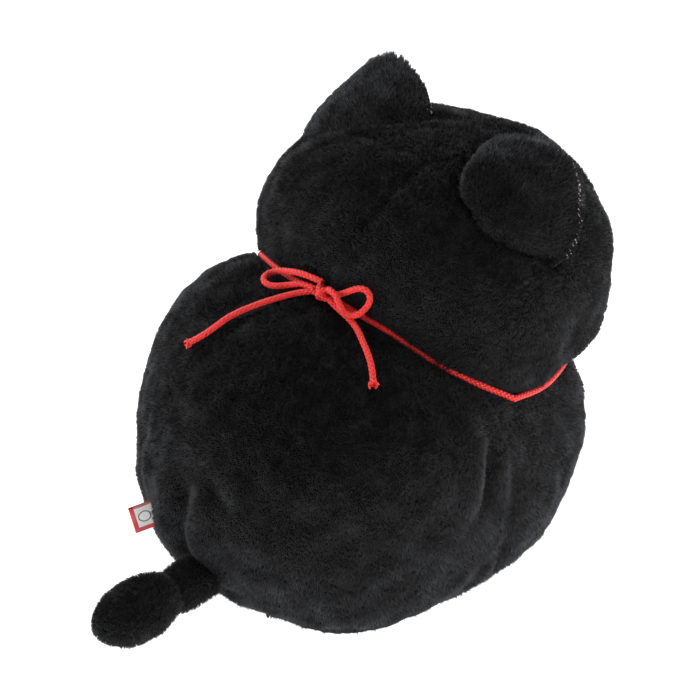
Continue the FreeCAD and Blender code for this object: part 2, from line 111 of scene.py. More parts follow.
def make_studio():
    world = bpy.data.worlds.new("studio")
    bpy.context.scene.world = world
    world.use_nodes = True
    nodes, links = world.node_tree.nodes, world.node_tree.links
    sky = nodes["Background"]
    sky.inputs["Color"].default_value = (1.0, 1.0, 1.0, 1)
    # a white tent that is open and dark above the back of the cat, on one side
    way = nodes.new("ShaderNodeTexCoord")
    opening = nodes.new("ShaderNodeVectorMath")
    opening.operation = "DOT_PRODUCT"
    opening.inputs[1].default_value = unit(np.array([-0.50, 0.35, 0.95]))
    shade = nodes.new("ShaderNodeMapRange")
    shade.interpolation_type = "SMOOTHSTEP"
    for name, value in (("From Min", 0.22), ("From Max", 0.86), ("To Min", TENT), ("To Max", 0.02)):
        shade.inputs[name].default_value = value
    links.new(way.outputs["Generated"], opening.inputs[0])
    links.new(opening.outputs["Value"], shade.inputs["Value"])
    links.new(shade.outputs["Result"], sky.inputs["Strength"])
    bpy.context.scene.view_settings.view_transform = "Standard"
    soft_light("key", (0.5, -0.3, 1.6), (0, 0, 0.05), 0.9, 5.5)
    soft_light("side", (-1.3, 0.0, 0.45), (0, 0, 0.08), 0.7, 5)
    floor = mesh_piece("floor", np.array([[-4, -4, 0], [4, -4, 0], [4, 4, 0], [-4, 4, 0]]) / MM,
                       [[0, 1, 2, 3]])
    floor.data.materials.append(floor_paper())


# ---------------------------------------------------------------- meshes

def mesh_piece(name, points, faces, smooth=True):
    """A mesh object from points in millimetres and a list or an array of faces."""
    mesh = bpy.data.meshes.new(name)
    points = np.asarray(points, float) * MM
    if isinstance(faces, np.ndarray):
        count, sides = faces.shape
        mesh.vertices.add(len(points))
        mesh.vertices.foreach_set("co", points.astype(np.float32).ravel())
        mesh.loops.add(count * sides)
        mesh.loops.foreach_set("vertex_index", faces.astype(np.int32).ravel())
        mesh.polygons.add(count)
        mesh.polygons.foreach_set("loop_start", np.arange(0, count * sides, sides, dtype=np.int32))
        mesh.update(calc_edges=True)
    else:
        mesh.from_pydata(points.tolist(), [], [list(face) for face in faces])
    if smooth:
        mesh.polygons.foreach_set("use_smooth", np.ones(len(mesh.polygons), bool))
    mesh.update()
    piece = bpy.data.objects.new(name, mesh)
    bpy.context.scene.collection.objects.link(piece)
    return piece


def read_mesh(mesh):
    """The vertices and their normals in millimetres, and the triangles."""
    mesh.calc_loop_triangles()
    points = np.zeros(len(mesh.vertices) * 3, np.float32)
    normals = np.zeros(len(mesh.vertices) * 3, np.float32)
    triangles = np.zeros(len(mesh.loop_triangles) * 3, np.int32)
    mesh.vertices.foreach_get("co", points)
    mesh.vertices.foreach_get("normal", normals)
    mesh.loop_triangles.foreach_get("vertices", triangles)
    return (points.reshape(-1, 3).astype(float) / MM, normals.reshape(-1, 3).astype(float),
            triangles.reshape(-1, 3))


def unit(vectors):
    return vectors / np.maximum(np.linalg.norm(vectors, axis=-1, keepdims=True), 1e-9)


def smooth_step(value, low, high):
    share = np.clip((value - low) / (high - low), 0, 1)
    return share * share * (3 - 2 * share)


def waves(seed, size, count=20):
    """A smooth random field, about -1 to 1, that varies over about size millimetres."""
    rng = np.random.default_rng(SEED + seed)
    pitch = unit(rng.normal(size=(count, 3)))
    pitch *= 2 * math.pi / (size * rng.uniform(0.7, 1.7, (count, 1)))
    phase = rng.uniform(0, 2 * math.pi, count)
    return lambda points: np.sin(points @ pitch.T + phase).sum(1) / math.sqrt(count)


def turning_point(low, high, before):
    """The value between low and high at which before(value) stops being true."""
    for _ in range(40):
        middle = (low + high) / 2
        if before(middle):
            low = middle
        else:
            high = middle
    return high


def run_lengths(points):
    """The length along a line from its start to each of its points."""
    return np.concatenate([[0], np.cumsum(np.linalg.norm(np.diff(points, axis=0), axis=1))])


def grid_faces(index):
    """The four-sided faces of a grid of vertex numbers."""
    return np.stack([index[:-1, :-1], index[1:, :-1], index[1:, 1:], index[:-1, 1:]],
                    -1).reshape(-1, 4)


def ball_grid(steps):
    """Directions spread over a ball, and the four-sided faces that join them."""
    line = np.tan(np.linspace(-1, 1, steps + 1) * math.pi / 4)
    across, up = np.meshgrid(line, line, indexing="ij")
    sides = []
    for axis in range(3):
        for sign in (1, -1):
            side = np.full(across.shape + (3,), float(sign))
            side[..., (axis + 1) % 3] = across if sign > 0 else up
            side[..., (axis + 2) % 3] = up if sign > 0 else across
            sides.append(side.reshape(-1, 3))
    points = unit(np.concatenate(sides))
    square = grid_faces(np.arange((steps + 1) ** 2).reshape(steps + 1, steps + 1))
    faces = np.concatenate([square + number * (steps + 1) ** 2 for number in range(6)])
    _, first, same = np.unique(np.round(points, 6), axis=0, return_index=True,
                               return_inverse=True)
    return points[first], same.reshape(-1)[faces]


def dress(piece, made, body, slot, *nodes):
    """A piece's material, the body it moves with, its slot (which is not used) and the CAD nodes it
    stands for.
    """
    piece.data.materials.append(made)
    if body:
        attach(piece, body)
    if nodes:
        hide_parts(*nodes)


# ---------------------------------------------------------------- round forms

class Form:
    """A stuffed round form about a centre: its surface at any direction out of the centre."""

    def __init__(self, centre, half, around, above, below):
        self.centre = np.array(centre, float)
        self.half = np.array(half, float)
        self.around = around
        self.above = above
        self.below = below
        self.swells = []

    def swell(self, place, height, spread):
        """Adds a soft rise, or a dent if height is negative, round a place near the surface."""
        way = unit(np.array(place, float) - self.centre)
        self.swells.append((way, height, spread))

    def reach(self, ways):
        """How far the surface is from the centre in each direction."""
        scaled = np.abs(ways) / self.half
        ring = (scaled[:, 0] ** self.around + scaled[:, 1] ** self.around) ** (1 / self.around)
        power = np.where(ways[:, 2] > 0, self.above, self.below)
        far = (ring ** power + scaled[:, 2] ** power) ** (-1 / power)
        for way, height, spread in self.swells:
            angle = np.arccos(np.clip(ways @ way, -1, 1))
            far = far + height * np.exp(-(angle / spread) ** 2)
        return far

    def depth(self, points):
        """How far inside the surface each point is, along the line from the centre."""
        away = points - self.centre
        far = np.linalg.norm(away, axis=1)
        return self.reach(unit(away)) - far

    def outward(self, points):
        """The surface's outward direction next to each point."""
        slope = [self.depth(points - shift) - self.depth(points + shift) for shift in np.eye(3) / 2]
        return unit(np.stack(slope, 1))


BODY = Form((0, -4, 46), (97, 111, 89), 2.22, 2.22, 2.0)
HEAD = Form((0, -52, 132), (90, 70, 62), 2.35, 2.35, 2.35)
HEAD.swell((-42, -85, 180), 3, 0.32)
HEAD.swell((-18, -92, 184), 4, 0.30)
BODY.swell((62, 8, 118), 2, 0.25)
BODY.swell((-66, 8, 122), -5, 0.22)
HEAD.swell((-60, 0, 112), 6, 0.26)
for side in (1, -1):
    BODY.swell((75 * side, 27, 101), 12, 0.40)
    BODY.swell((88 * side, 30, 5), -2, 0.38)
    BODY.swell((64 * side, 72, 2), 4.5, 0.30)
    HEAD.swell((72 * side, -29, 90), 8, 0.20)
    HEAD.swell((88 * side, -58, 118), -4, 0.22)

PILE = 1.7              # how far the pile stands off the cloth that it grows from


# ---------------------------------------------------------------- materials

def material(name, colour, rough, **values):
    made = bpy.data.materials.new(name)
    made.use_nodes = True
    shader = made.node_tree.nodes["Principled BSDF"]
    shader.inputs["Base Color"].default_value = (*colour, 1)
    shader.inputs["Roughness"].default_value = rough
    for words, value in values.items():
        socket = shader.inputs[words.replace("_", " ").title().replace("Ior", "IOR")]
        socket.default_value = (*value, 1) if isinstance(value, tuple) else value
    return made


def add_node(made, kind, **values):
    node = made.node_tree.nodes.new(kind)
    for name, value in values.items():
        if name in node.inputs:
            node.inputs[name].default_value = value
        else:
            setattr(node, name, value)
    return node


def link(made, start, output, end, entry):
    made.node_tree.links.new(start.outputs[output], end.inputs[entry])


def noise(made, scale, detail, **values):
    """A noise texture that is fixed to the piece."""
    place = add_node(made, "ShaderNodeTexCoord")
    texture = add_node(made, "ShaderNodeTexNoise", Scale=scale, Detail=detail, **values)
    link(made, place, "Object", texture, "Vector")
    return texture


def mottled(made, dark, light, scale, detail=6.0, bump=0.0, bump_scale=0, lift=0.0004,
            bump_detail=4.0):
    """Varies a material's colour between two colours in patches, with a fine relief."""
    shader = made.node_tree.nodes["Principled BSDF"]
    ramp = add_node(made, "ShaderNodeValToRGB")
    for element, place, colour in zip(ramp.color_ramp.elements, (0.32, 0.68), (dark, light)):
        element.position = place
        element.color = (*colour, 1)
    link(made, noise(made, scale, detail, Roughness=0.6), "Fac", ramp, "Fac")
    link(made, ramp, "Color", shader, "Base Color")
    if bump:
        relief = add_node(made, "ShaderNodeBump", Strength=bump, Distance=lift)
        link(made, noise(made, bump_scale, bump_detail), "Fac", relief, "Height")
        link(made, relief, "Normal", shader, "Normal")
    return made


def floor_paper():
    made = material("floor_paper", (0.93, 0.93, 0.93), 0.9, emission_color=(1.0, 1.0, 1.0),
                    emission_strength=1.3)
    return mottled(made, (0.925, 0.925, 0.925), (0.935, 0.935, 0.935), 3.0)


PLUSH_TONES = ((0.0030, 0.0029, 0.0031), (0.0050, 0.0048, 0.0051), (0.0080, 0.0077, 0.0082),
               (0.0140, 0.0136, 0.0146))


def plush_tones():
    """The pile's own colours, from the deepest black to the greyer tips."""
    made = []
    for number, tone in enumerate(PLUSH_TONES):
        made.append(material("plush_pile_%d" % number, tone, 0.60, specular_ior_level=0.22,
                             sheen_weight=0.16, sheen_roughness=0.40,
                             sheen_tint=(0.70, 0.74, 0.84)))
    return made


def plush_cloth():
    """The knitted ground that the pile grows from."""
    made = material("plush_ground", (0.004, 0.004, 0.005), 0.9)
    return mottled(made, (0.002, 0.002, 0.0025), (0.008, 0.008, 0.009), 420, bump=0.8,
                   bump_scale=1800)


def red_braid():
    made = material("red_braid", (0.6, 0.01, 0.01), 0.5, sheen_weight=0.25,
                    sheen_roughness=0.4, sheen_tint=(1.0, 0.45, 0.4))
    return mottled(made, (0.66, 0.012, 0.011), (0.92, 0.032, 0.026), 900, bump=0.5,
                   bump_scale=4200, lift=0.0001)


def satin(name, dark, light):
    made = material(name, light, 0.38, sheen_weight=0.3, sheen_roughness=0.3)
    return mottled(made, dark, light, 260, bump=0.5, bump_scale=2600, lift=0.0001)


def thread(name, dark, light):
    made = material(name, light, 0.45, sheen_weight=0.2)
    return mottled(made, dark, light, 1500, bump=0.6, bump_scale=5200, lift=0.0001)


def fibre(name, dark, light):
    made = material(name, light, 0.95)
    return mottled(made, dark, light, 300, detail=10, bump=1.0, bump_scale=900, lift=0.001)


def brass():
    made = material("brass", (0.83, 0.60, 0.22), 0.24, metallic=1.0)
    shader = made.node_tree.nodes["Principled BSDF"]
    mottled(made, (0.72, 0.48, 0.15), (0.88, 0.66, 0.28), 180, bump=0.12, bump_scale=1500,
            lift=0.0001)
    spread = add_node(made, "ShaderNodeMapRange")
    spread.inputs["To Min"].default_value = 0.14
    spread.inputs["To Max"].default_value = 0.42
    link(made, noise(made, 240.0, 8.0), "Fac", spread, "Value")
    link(made, spread, "Result", shader, "Roughness")
    return made


# ---------------------------------------------------------------- cords

# The bow's routes in metres, as in the CAD part.
BOW_ROUTES = {
    "bow_left_end": [(0.003, 0.0215, 0.139), (0.0105, 0.0236, 0.1364), (0.0165, 0.0295, 0.1342),
                     (0.022, 0.0375, 0.132), (0.0275, 0.0455, 0.129), (0.0315, 0.0528, 0.126),
                     (0.034, 0.0598, 0.122), (0.0375, 0.0652, 0.1178), (0.043, 0.069, 0.1132)],
    "bow_right_end": [(-0.004, 0.0226, 0.138), (-0.0115, 0.0238, 0.1366), (-0.019, 0.0244, 0.1352),
                      (-0.0263, 0.0264, 0.1338), (-0.0344, 0.0309, 0.1326),
                      (-0.0425, 0.0352, 0.1306), (-0.0495, 0.0398, 0.128), (-0.055, 0.0448, 0.1246)],
    "bow_left_loop": [(0.0024, 0.0202, 0.1434), (0.011, 0.0212, 0.1438), (0.0205, 0.021, 0.1416),
                      (0.0295, 0.0202, 0.138), (0.0345, 0.0206, 0.1356), (0.0364, 0.0246, 0.1346),
                      (0.0336, 0.0289, 0.1342), (0.027, 0.0296, 0.1344), (0.0195, 0.0248, 0.1364),
                      (0.0125, 0.022, 0.1394), (0.005, 0.0224, 0.1394)],
    "bow_right_loop": [(-0.004, 0.0226, 0.1434), (-0.0096, 0.024, 0.1442),
                       (-0.0146, 0.026, 0.1412), (-0.0184, 0.0264, 0.1378),
                       (-0.023, 0.024, 0.1376), (-0.026, 0.0206, 0.1414), (-0.0272, 0.0182, 0.146),
                       (-0.0242, 0.0178, 0.1498), (-0.0188, 0.0186, 0.1486),
                       (-0.014, 0.0196, 0.1452), (-0.0096, 0.0202, 0.142), (-0.005, 0.0202, 0.1396)],
}


def spline_line(route):
    """The line, in metres, of the NURBS spline whose control points are the route's."""
    curve = bpy.data.curves.new("route", "CURVE")
    curve.dimensions = "3D"
    curve.resolution_u = 16
    spline = curve.splines.new("NURBS")
    spline.points.add(len(route) - 1)
    for point, place in zip(spline.points, route):
        point.co = (*place, 1)
    spline.order_u = 3
    spline.use_endpoint_u = True
    holder = bpy.data.objects.new("route", curve)
    mesh = bpy.data.meshes.new_from_object(holder)
    line = np.array([vertex.co for vertex in mesh.vertices], float)
    bpy.data.objects.remove(holder)
    bpy.data.curves.remove(curve)
    bpy.data.meshes.remove(mesh)
    return line


def smooth_line(route):
    """The same line for a route in millimetres."""
    return spline_line([tuple(np.array(point) * MM) for point in route]) / MM


def evenly(line, step):
    """The line again, in steps of one length."""
    along = run_lengths(line)
    at = np.linspace(0, along[-1], max(3, int(round(along[-1] / step)) + 1))
    return np.stack([np.interp(at, along, line[:, axis]) for axis in range(3)], 1), at


def line_axes(line):
    """Two directions across a line at each of its points, without any twist."""
    ahead = unit(np.gradient(line, axis=0))
    side = np.cross(ahead[0], UP if abs(ahead[0][2]) < 0.9 else [1.0, 0, 0])
    sides = []
    for way in ahead:
        side = unit(side - way * (side @ way))
        sides.append(side)
    sides = np.array(sides)
    return sides, np.cross(ahead, sides), ahead


def tube_faces(rings, around):
    ring = np.arange(rings - 1)[:, None] * around
    step = np.arange(around)[None, :]
    after = (step + 1) % around
    return np.stack([ring + step, ring + after, ring + around + after, ring + around + step],
                    -1).reshape(-1, 4)


def tube_mesh(line, radius, around):
    """Points and faces of a round tube along a line, open at both ends."""
    first, second, _ = line_axes(line)
    turn = np.linspace(0, 2 * math.pi, around, endpoint=False)
    radius = np.broadcast_to(np.asarray(radius, float), (len(line),))
    rings = (line[:, None]
             + radius[:, None, None] * (np.cos(turn)[None, :, None] * first[:, None]
                                        + np.sin(turn)[None, :, None] * second[:, None]))
    return rings.reshape(-1, 3), tube_faces(len(line), around)


def thread_mesh(name, threads, step, around, wave=0.0):
    """Threads with closed ends, each from its route in millimetres and its radius."""
    points, faces, base = [], [], 0
    number = np.arange(around)
    after = (number + 1) % around
    for route, radius in threads:
        line, along = evenly(smooth_line(route), step)
        tube, quads = tube_mesh(line, radius * (1 + wave * np.cos(2 * math.pi * along / 1.7)),
                                around)
        count, last = len(tube), len(tube) - around
        ends = np.concatenate([np.stack([0 * number + count, after, number], 1),
                               np.stack([0 * number + count + 1, last + number, last + after], 1)])
        points += [tube, line[[0, -1]]]
        faces += (quads + base).tolist() + (ends + base).tolist()
        base += count + 2
    return mesh_piece(name, np.concatenate(points), faces)


BRAID_STRANDS = 4       # in each direction; even, so that over and under alternate
BRAID_PITCH = 9.5       # length of one whole turn of a strand
STRAND_OUT = 1.06       # a strand's middle from the braid's
STRAND_WEAVE = 0.15     # how far it goes over and under
STRAND_WIDE = 0.58      # half its width
STRAND_THICK = 0.38     # half its thickness
CORE_RADIUS = 0.86
FRAY_LONG = 3.2


def braid(name, line, frayed=False):
    """A round braid of eight strands along a line in millimetres, on a plain core."""
    line, along = evenly(line, 0.3)
    first, second, ahead = line_axes(line)
    count = len(line)
    spin = 2 * math.pi / BRAID_PITCH
    loose = frayed * smooth_step(along - along[-1] + FRAY_LONG, 0, FRAY_LONG)
    points, faces, base = [], [], 0
    turn = np.linspace(0, 2 * math.pi, 6, endpoint=False)
    weave = np.cos(BRAID_STRANDS * spin * along)
    ends = np.array([[0, 5, 4, 3], [0, 3, 2, 1]])
    rng = np.random.default_rng(SEED + count)
    for way in (1, -1):
        for number in range(BRAID_STRANDS):
            angle = way * spin * along + 2 * math.pi * number / BRAID_STRANDS
            out = np.cos(angle)[:, None] * first + np.sin(angle)[:, None] * second
            tangent = unit(np.cross(ahead, out) * way * spin * 1.3 + ahead)
            across = np.cross(out, tangent)
            stand = STRAND_OUT + STRAND_WEAVE * way * weave + loose * rng.uniform(0.4, 1.5)
            centre = line + out * stand[:, None] + ahead * (loose * rng.uniform(-0.6, 0.8))[:, None]
            wide = STRAND_WIDE * (1 - 0.35 * loose)
            rings = (centre[:, None]
                     + np.cos(turn)[None, :, None] * across[:, None] * wide[:, None, None]
                     + np.sin(turn)[None, :, None] * out[:, None] * STRAND_THICK)
            points.append(rings.reshape(-1, 3))
            faces += [tube_faces(count, 6) + base, ends + base,
                      ends[:, ::-1] + base + (count - 1) * 6]
            base += count * 6
    core, core_faces = tube_mesh(line[::3], CORE_RADIUS, 6)
    return mesh_piece(name, np.concatenate(points + [core]),
                      np.concatenate(faces + [core_faces + base]))


def crease_point(degrees, stand):
    """A point in the crease between head and body, at a distance from both skins' piles."""
    turn = math.radians(degrees)

    def on_head(rise):
        way = np.array([[math.cos(rise) * math.cos(turn), math.cos(rise) * math.sin(turn),
                         math.sin(rise)]])
        return HEAD.centre + way * HEAD.reach(way)[0]

    point = on_head(turning_point(math.radians(-70), math.radians(35),
                                  lambda rise: BODY.depth(on_head(rise))[0] > 0))
    return (point + unit(HEAD.outward(point) + BODY.outward(point)) * stand)[0]


NECK_POINTS = 26
CORNER_NUMBER = 21      # the neck cord's point that is a sharp corner, under the right cheek
NECK_CORNER = (-82.6, -19.6, 100.0)
NECK_STAND = 0.45       # how far the cord stands out of the crease
RED = red_braid()


def neck_line():
    """The neck cord's line in millimetres, from the knot's left round to its right."""
    route = [(3.0, 20.0, 138.0)]
    for number in range(1, NECK_POINTS):
        if number == CORNER_NUMBER:
            route += [NECK_CORNER, NECK_CORNER]
            continue
        degrees = 90 - number * 360 / NECK_POINTS
        route.append(tuple(crease_point(degrees, NECK_STAND)))
    route.append((-3.0, 20.0, 138.0))
    return smooth_line(route)


NECK_CLEAR, BOW_CLEAR = 2.1, 1.8            # no pile grows within this far of a cord's middle
CELL = 0.5
CELLS_FROM = np.array([-110.0, -125.0, 60.0])
CELLS = np.zeros((440, 430, 200), bool)     # the cells of space that cords take up


def mark_cord(line, radius):
    """Marks the cells within a radius of a cord's line."""
    line, _ = evenly(line, 0.4)
    reach = int(radius / CELL) + 1
    offsets = np.arange(-reach, reach + 1)
    ball = np.stack(np.meshgrid(offsets, offsets, offsets, indexing="ij"), -1).reshape(-1, 3)
    ball = ball[np.linalg.norm(ball, axis=1) * CELL <= radius]
    at = np.round((line - CELLS_FROM) / CELL).astype(int)
    at = (at[:, None] + ball[None]).reshape(-1, 3)
    at = at[((at >= 0) & (at < CELLS.shape)).all(1)]
    CELLS[tuple(at.T)] = True


def by_cord(points):
    at = np.round((points - CELLS_FROM) / CELL).astype(int)
    within = ((at >= 0) & (at < CELLS.shape)).all(1)
    found = np.zeros(len(points), bool)
    found[within] = CELLS[tuple(at[within].T)]
    return found


def make_cords():
    neck_middle = neck_line()
    mark_cord(neck_middle, NECK_CLEAR)
    dress(braid("neck_cord_braid", neck_middle), RED, "sewn_body", "red_cord", "neck_cord")
    for name, route in BOW_ROUTES.items():
        line = spline_line(route)
        mark_cord(line / MM, BOW_CLEAR)
        loop = name.endswith("loop")
        piece = braid(name + "_braid", line / MM, not loop)
        dress(piece, RED, "sewn_body", "red_cord", name)


KNOT_SIZE = 0.78
KNOT_ROUTE = [(-4.5, 3.0, -2.0), (-2.0, 5.0, 1.5), (1.5, 3.8, 4.0), (3.5, 0.0, 3.2),
              (2.5, -2.5, -0.5), (0.5, 1.0, -3.8), (1.5, 4.6, -2.0), (-0.5, 4.8, 2.5),
              (-3.5, 2.0, 4.2), (-4.0, -1.5, 1.5), (-1.5, -2.0, -2.5), (2.5, 1.5, -3.5),
              (4.5, 3.6, 0.0)]


def make_knot():
    """The bow's knot: the cord wound tightly round itself."""
    middle = np.array([0, 21.0, 139.3])
    line = smooth_line([middle + np.array(point) * KNOT_SIZE for point in KNOT_ROUTE])
    dress(braid("bow_knot_braid", line), RED, "sewn_body", "red_cord", "bow_knot")


# ---------------------------------------------------------------- plush

PLUSH = plush_tones()
GROUND = plush_cloth()
lean_fields = [waves(number, 13.0) for number in range(3)]
tuft_fields = [waves(10 + number, 3.4) for number in range(3)]
tone_field = waves(30, 11.0)
broad_tone = waves(31, 42.0)
length_field = waves(33, 6.0)
TUFT_WIDE = 0.27, 0.42  # from a tuft's middle to its corners, at its foot
TUFT_SUNK = 0.7         # how far a tuft's foot is under the cloth


def grow_pile(name, skin, density, length, seed, keep=None, nap=(0.0, 0.25, -1.0), lean=0.6,
              tips=None):
    """Separate tufts of pile on a skin, each a closed three-sided point."""
    points, normals, triangles = read_mesh(skin.data)
    rng = np.random.default_rng(SEED + 100 + seed)
    a, b, c = (points[triangles[:, corner]] for corner in range(3))
    area = np.linalg.norm(np.cross(b - a, c - a), axis=1) / 2
    count = int(area.sum() * density)
    pick = rng.choice(len(area), count, p=area / area.sum())
    u, v = rng.random((2, count, 1))
    u, v = np.where(u + v > 1, 1 - u, u), np.where(u + v > 1, 1 - v, v)
    root = a[pick] + u * (b[pick] - a[pick]) + v * (c[pick] - a[pick])
    na, nb, nc = (normals[triangles[:, corner]] for corner in range(3))
    out = unit(na[pick] * (1 - u - v) + nb[pick] * u + nc[pick] * v)
    if keep is not None:
        kept = keep(root)
        root, out = root[kept], out[kept]
        count = len(root)
    drift = np.stack([field(root) for field in lean_fields], 1)
    fine = np.stack([field(root) for field in tuft_fields], 1)
    way = unit(np.array(nap, float)) + 0.50 * drift + 0.32 * fine
    way = way - out * (way * out).sum(1, keepdims=True)
    way = way + 0.30 * rng.normal(size=(count, 3))
    aim = unit(out + lean * way)
    long = length * (1 + 0.08 * length_field(root) + 0.12 * rng.normal(size=count)).clip(0.5, 1.6)
    if tips is not None:
        long = long * tips(root)
    tip = root + aim * long[:, None]
    free = ~by_cord(tip) & ~by_cord(root + aim * long[:, None] * 0.6) & (root[:, 2] > 0.3)
    root, out, aim, tip = root[free], out[free], aim[free], tip[free]
    tip[:, 2] = np.maximum(tip[:, 2], 0.15)
    count = len(root)
    across = unit(np.cross(aim, rng.normal(size=(count, 3))))
    along = np.cross(aim, across)
    wide = rng.uniform(*TUFT_WIDE, count)[:, None]
    foot = root - out * TUFT_SUNK
    foot[:, 2] = np.maximum(foot[:, 2], 0.6)
    corners = []
    for number in range(3):
        turn = 2 * math.pi * number / 3
        corners.append(foot + wide * (math.cos(turn) * across + math.sin(turn) * along))
    made = np.stack([*corners, tip], 1).reshape(-1, 3)
    base = np.arange(count)[:, None] * 4
    shape = np.array([[0, 1, 3], [1, 2, 3], [2, 0, 3], [0, 2, 1]])
    faces = (base[:, None] + shape[None]).reshape(-1, 3)
    piece = mesh_piece(name, made, faces, smooth=False)
    for tone in PLUSH:
        piece.data.materials.append(tone)
    shade = 1.35 + 0.35 * tone_field(root) + 0.35 * broad_tone(root) + 0.75 * rng.normal(size=count)
    slots = np.clip(np.round(shade), 0, len(PLUSH) - 1).astype(np.int32)
    piece.data.polygons.foreach_set("material_index", np.repeat(slots, 4))
    piece.data.update()
    return piece


def settle(points, level=0.4, soft=5.0):
    """Flattens what would be under the floor, with a rounded edge."""
    height = points[:, 2] - level
    points[:, 2] = level + soft * np.logaddexp(0, height / soft) - soft * math.log(2) * np.exp(
        -np.abs(height) / soft)
    points[:, 2] = np.maximum(points[:, 2], level)
    return points


def seam_dip(distance, depth, width):
    """The groove of a seam, by the distance from it."""
    return -depth * np.exp(-(distance / width) ** 2)


GORE_X, GORE_SLOPE = 5.4, math.tan(math.radians(19.3))
BACK_Y = -4.0
FACE_Y = -33.0
BASE_Z = 3.0
GORE_WAY = unit(np.array([1.0, -GORE_SLOPE, 0]))

soft_lumps = waves(50, 46.0)
small_lumps = waves(51, 17.0)


def body_relief(points):
    """How far the body's cloth stands in or out of its round form, seams and folds included."""
    x, y, z = points.T
    rise = 0.9 * soft_lumps(points) + 0.35 * small_lumps(points)
    behind = smooth_step(y, BACK_Y - 3, BACK_Y + 3)
    over = smooth_step(z, 2, 14)
    gore = np.abs(np.abs(x) - GORE_X - GORE_SLOPE * (y - BACK_Y)) * abs(GORE_WAY[0])
    rise += behind * over * seam_dip(gore, 0.6, 2.6)
    rise += behind * over * seam_dip(x, 0.4, 2.6)
    rise += behind * over * (pucker(gore, z, 0.5) + pucker(x, z, 0.4))
    rise += over * seam_dip(y - BACK_Y, 1.4, 3.4)
    rise += seam_dip(z - 4, 1.2, 3.2) * smooth_step(np.hypot(x / 80, y / 90), 0.8, 0.95)
    for crease in BODY_FOLDS:
        rise += fold(points, *crease)
    return rise


def run_distance(points, start, end):
    """The distance of each point from a straight run, and its share of the way along it."""
    start = np.array(start, float)
    way = np.array(end, float) - start
    share = np.clip(((points - start) @ way) / (way @ way), 0, 1)
    return np.linalg.norm(points - start - share[:, None] * way, axis=1), share


def fold(points, start, end, depth, width):
    """A crease between two places, deepest in its middle, with a low ridge on each side."""
    distance, share = run_distance(points, start, end)
    strength = np.sin(math.pi * np.clip(share, 0.04, 0.96)) ** 0.6
    return -depth * strength * (np.exp(-(distance / width) ** 2)
                                - 0.35 * np.exp(-((distance - 2.2 * width) / (1.3 * width)) ** 2))


# start, end, depth and width; the first three run into the root of the tail
BODY_FOLDS = [((6.5, 104, 76), (12.5, 102, 14), 6.5, 6.0), ((-3, 102, 79), (-22, 103, 64), 3.0, 4.5),
              ((-6, 101, 12), (-28, 102, 18), 2.5, 4.5), ((-93, 6, 99), (-100, 16, 60), 5.0, 4.8),
              ((93, 2, 97), (97, 10, 64), 3.0, 6.5), ((51, 86, 92), (47, 95, 30), 1.8, 4.0)]
HEAD_FOLDS = [((-82, -33, 160), (-80, -30, 98), 3.0, 5.5), ((82, -33, 160), (80, -30, 98), 2.4, 5.5)]
EAR_ROOTS = []          # the lines along which the ears leave the head, filled by make_head


def route_distance(points, route):
    """The distance of each point from a line of straight runs."""
    return np.min([run_distance(points, *ends)[0] for ends in zip(route, route[1:])], axis=0)


def pucker(distance, along, strength):
    """Small gathers that run across a seam."""
    return strength * 0.45 * np.exp(-(distance / 6.0) ** 2) * np.sin(along * 2 * math.pi / 7.5)


def head_seam(points):
    """The head's middle seam wanders to one side over the crown."""
    return -13.0 * smooth_step(points[:, 2], 150, 186)


def head_relief(points):
    """How far the head's cloth stands in or out of its round form."""
    x, y, z = points.T
    rise = 0.8 * soft_lumps(points + 90) + 0.35 * small_lumps(points + 90)
    behind = smooth_step(y, FACE_Y - 3, FACE_Y + 3)
    rise += behind * seam_dip(x - head_seam(points), 1.1, 2.4)
    rise += seam_dip(y - FACE_Y, 1.2, 3.2)
    rise += pucker(x - head_seam(points), y + z, 0.6 * behind) + pucker(y - FACE_Y, z, 0.8)
    for crease in HEAD_FOLDS:
        rise += fold(points, *crease)
    for route, depth in zip(EAR_ROOTS, (1.8, 3.0)):
        rise += seam_dip(route_distance(points, route), depth, 3.4)
    return rise


def form_skin(form, relief, steps, planes, other, floor, wander=None):
    """A form's whole skin as a bmesh, with edges along its seams and no faces inside the other."""
    ways, faces = ball_grid(steps)
    points = form.centre + ways * form.reach(ways)[:, None]
    if wander:
        points[:, 0] -= wander(points)
    whole = mesh_piece("whole", points, faces)
    mesh = bmesh.new()
    mesh.from_mesh(whole.data)
    bpy.data.objects.remove(whole)
    for place, way in planes:
        every = mesh.verts[:] + mesh.edges[:] + mesh.faces[:]
        bmesh.ops.bisect_plane(mesh, geom=every, dist=1e-6, plane_co=Vector(place) * MM,
                               plane_no=Vector(way))
    mesh.verts.ensure_lookup_table()
    points = np.array([vertex.co for vertex in mesh.verts], float) / MM
    if wander:
        points[:, 0] += wander(points)
    points = points + form.outward(points) * (relief(points) - PILE)[:, None]
    if floor:
        points = settle(points)
    for vertex, place in zip(mesh.verts, points):
        vertex.co = place * MM
    buried = [face for face in mesh.faces
              if other.depth(np.array([face.calc_center_median()]) / MM)[0] > 9.0]
    bmesh.ops.delete(mesh, geom=buried, context="FACES")
    mesh.normal_update()
    return mesh


def split_panels(mesh, panel_of, names):
    """One object per panel out of a whole skin."""
    mesh.faces.ensure_lookup_table()
    centres = np.array([face.calc_center_median() for face in mesh.faces], float) / MM
    labels = panel_of(centres)
    pieces = []
    for number, name in enumerate(names):
        index, points, faces = {}, [], []
        for face, label in zip(mesh.faces, labels):
            if label != number:
                continue
            for vertex in face.verts:
                if vertex.index not in index:
                    index[vertex.index] = len(points)
                    points.append(np.array(vertex.co) / MM)
            faces.append([index[vertex.index] for vertex in face.verts])
        pieces.append(mesh_piece(name + "_skin", points, faces))
    mesh.free()
    return pieces


